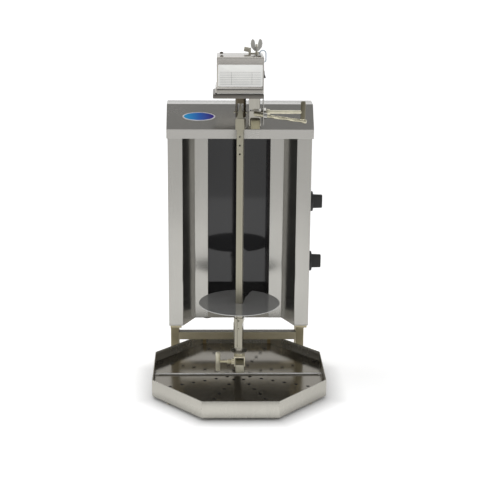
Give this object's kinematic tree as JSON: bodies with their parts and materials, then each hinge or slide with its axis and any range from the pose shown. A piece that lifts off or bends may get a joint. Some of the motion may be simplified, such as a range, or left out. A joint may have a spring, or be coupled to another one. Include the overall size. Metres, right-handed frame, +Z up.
{
  "type": "electric skewer grill",
  "caption": "Upright electric skewer grill: motor-driven vertical spit with a meat plate before a radiant heater, over an octagonal drip tray that pulls out like a drawer.",
  "frame": {"origin": "on the counter, under the centre of the drip tray", "axes": "+X to the user's right, where the knobs are; +Y away from the user, towards the heater; +Z up"},
  "size_m": [0.414, 0.442, 0.8445],
  "materials": {
    "tray_steel": "satin stainless sheet",
    "cover_steel": "bright stainless sheet",
    "frame_steel": "satin stainless tube",
    "pad_rubber": "matt",
    "arm_steel": "satin stainless",
    "cabinet_steel": "satin stainless sheet",
    "inner_steel": "mill finish sheet",
    "heater_glass": "dark glass ceramic",
    "fibre_board": "pressed ceramic fibre",
    "element_alloy": "oxidised",
    "black_plastic": "satin black",
    "block_plastic": "white",
    "lead_sleeve": "pale silicone",
    "badge_enamel": "gloss blue with a white rim",
    "plate_white": "bare white",
    "gasket_rubber": "grey",
    "motor_paint": "grey",
    "screw_steel": "turned",
    "stud_brass": "turned",
    "handle_steel": "polished",
    "spit_steel": "ground",
    "plate_polish": "mirror polished stainless"
  },
  "bodies": {
    "stand": {"front_legs": "frame_steel", "rear_posts": "frame_steel", "crossbar": "frame_steel", "rear_tie": "frame_steel", "side_rails": "frame_steel", "floor_runners": "frame_steel", "rubber_pads": "pad_rubber", "lower_arm": "arm_steel", "upper_arm": "arm_steel", "arm_caps": "arm_steel", "upper_arm_bracket": "arm_steel", "left_front": "cabinet_steel", "right_front": "cabinet_steel", "left_side_panel": "cabinet_steel", "right_side_panel": "cabinet_steel", "sill_band": "cabinet_steel", "bottom_panel": "inner_steel", "back_panel": "cabinet_steel", "roof_deck": "inner_steel", "recess_liner": "inner_steel", "heater_glass": "heater_glass", "glass_clips": "inner_steel", "heater_box": "inner_steel", "insulation_board": "fibre_board", "upper_element": "element_alloy", "lower_element": "element_alloy", "regulators": "black_plastic", "terminal_block": "block_plastic", "cable_gland": "black_plastic", "wiring_loom": "lead_sleeve", "hood": "cabinet_steel", "hood_badge": "badge_enamel"},
    "drip_tray": {"tray_pan": "tray_steel"},
    "front_half_cover": {"front_cover": "cover_steel"},
    "rear_half_cover": {"rear_cover": "cover_steel"},
    "motor_carriage": {"carriage_plate": "cabinet_steel", "carriage_neck": "arm_steel", "side_plate": "cabinet_steel", "cover_gasket": "gasket_rubber", "motor_cover": "cabinet_steel", "gear_motor": "motor_paint", "rating_plate": "plate_white", "cover_screws": "screw_steel", "motor_switch": "black_plastic", "earth_stud": "stud_brass", "earth_lead": "lead_sleeve"},
    "lower_carriage": {"lower_slider": "arm_steel"},
    "spit": {"drive_socket": "spit_steel", "cross_pin": "spit_steel", "skewer": "spit_steel", "plate_sleeve": "spit_steel", "drip_dish": "spit_steel"},
    "plate": {"meat_plate": "plate_polish"},
    "upper_handle": {"upper_t_handle": "handle_steel"},
    "pin": {"locking_pin": "handle_steel"},
    "lower_handle": {"lower_t_handle": "handle_steel"},
    "earth_nut": {"wing_nut": "screw_steel"},
    "rocker": {"motor_rocker": "black_plastic"},
    "upper_dial": {"upper_knob": "black_plastic"},
    "lower_dial": {"lower_knob": "black_plastic"}
  },
  "joints": [
    {"name": "tray_slide", "type": "slide", "parent": "stand", "child": "drip_tray", "axis": [0, -1, 0], "range_m": [0, 0.3]},
    {"name": "front_cover_lift", "type": "slide", "parent": "drip_tray", "child": "front_half_cover", "axis": [0, 0, 1], "range_m": [0, 0.03]},
    {"name": "rear_cover_lift", "type": "slide", "parent": "drip_tray", "child": "rear_half_cover", "axis": [0, 0, 1], "range_m": [0, 0.03]},
    {"name": "motor_slide", "type": "slide", "parent": "stand", "child": "motor_carriage", "axis": [0, 1, 0], "range_m": [-0.01, 0.04]},
    {"name": "lower_slide", "type": "slide", "parent": "stand", "child": "lower_carriage", "axis": [0, 1, 0], "range_m": [-0.01, 0.04]},
    {"name": "spit_turn", "type": "hinge", "parent": "motor_carriage", "child": "spit", "pos_m": [-0.001, -0.0725, 0.684], "axis": [0, 0, 1], "continuous": true},
    {"name": "plate_lift", "type": "slide", "parent": "spit", "child": "plate", "axis": [0, 0, 1], "range_m": [0, 0.3]},
    {"name": "upper_clamp_turn", "type": "hinge", "parent": "motor_carriage", "child": "upper_handle", "pos_m": [0.05, -0.062, 0.683], "axis": [1, 0, 0], "range_deg": [0, 180]},
    {"name": "pin_pull", "type": "slide", "parent": "motor_carriage", "child": "pin", "axis": [0.9903, 0, -0.1392], "range_m": [0, 0.015]},
    {"name": "lower_clamp_turn", "type": "hinge", "parent": "lower_carriage", "child": "lower_handle", "pos_m": [-0.0128, -0.0725, 0.0865], "axis": [-1, 0, 0], "range_deg": [0, 180]},
    {"name": "wing_nut_turn", "type": "hinge", "parent": "motor_carriage", "child": "earth_nut", "pos_m": [0.034, -0.0475, 0.8185], "axis": [0, 0, 1], "continuous": true},
    {"name": "rocker_tilt", "type": "hinge", "parent": "motor_carriage", "child": "rocker", "pos_m": [0.048, -0.0705, 0.769], "axis": [0, 1, 0], "range_deg": [0, 14]},
    {"name": "upper_knob_turn", "type": "hinge", "parent": "stand", "child": "upper_dial", "pos_m": [0.169, 0.07, 0.444], "axis": [-1, 0, 0], "range_deg": [0, 270]},
    {"name": "lower_knob_turn", "type": "hinge", "parent": "stand", "child": "lower_dial", "pos_m": [0.169, 0.07, 0.294], "axis": [-1, 0, 0], "range_deg": [0, 270]}
  ],
  "couplings": [
    {"joint": "lower_slide", "follows": "motor_slide", "ratio": 1}
  ]
}
